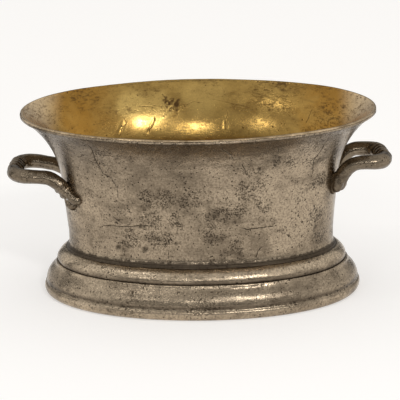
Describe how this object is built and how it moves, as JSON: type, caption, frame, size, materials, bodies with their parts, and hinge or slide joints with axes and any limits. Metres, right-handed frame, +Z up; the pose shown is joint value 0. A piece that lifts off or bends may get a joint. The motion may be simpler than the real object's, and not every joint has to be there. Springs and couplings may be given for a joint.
{
  "type": "champagne bucket",
  "caption": "Oval champagne bucket of worn silver-coloured cast metal with a flared rim, a gold-coloured liner, looped side handles and a stepped moulded foot.",
  "frame": {"origin": "middle of the foot's underside, on the surface the bucket stands on", "axes": "+X along the length of the oval towards the right-hand handle, +Y across the oval towards the back, +Z up"},
  "size_m": [0.5006, 0.3014, 0.247],
  "materials": {
    "aged_silver": "worn cast metal with a tarnished silver look, semi-gloss, pitted",
    "aged_gold": "worn gilt brass, satin, mottled",
    "fastener_steel": "plain zinc-plated steel",
    "seal_rubber": "matt black rubber"
  },
  "bodies": {
    "root": {"bowl_shell": "aged_silver", "bowl_liner": "aged_gold", "foot_collar": "aged_silver", "foot_plinth": "aged_silver", "handle_left": "aged_silver", "handle_right": "aged_silver", "handle_screw_left_front": "fastener_steel", "handle_seal_left_front": "seal_rubber", "foot_screw_left_front": "fastener_steel", "foot_washer_left_front": "fastener_steel", "handle_screw_left_back": "fastener_steel", "handle_seal_left_back": "seal_rubber", "foot_screw_left_back": "fastener_steel", "foot_washer_left_back": "fastener_steel", "handle_screw_right_front": "fastener_steel", "handle_seal_right_front": "seal_rubber", "foot_screw_right_front": "fastener_steel", "foot_washer_right_front": "fastener_steel", "handle_screw_right_back": "fastener_steel", "handle_seal_right_back": "seal_rubber", "foot_screw_right_back": "fastener_steel", "foot_washer_right_back": "fastener_steel"}
  },
  "joints": []
}
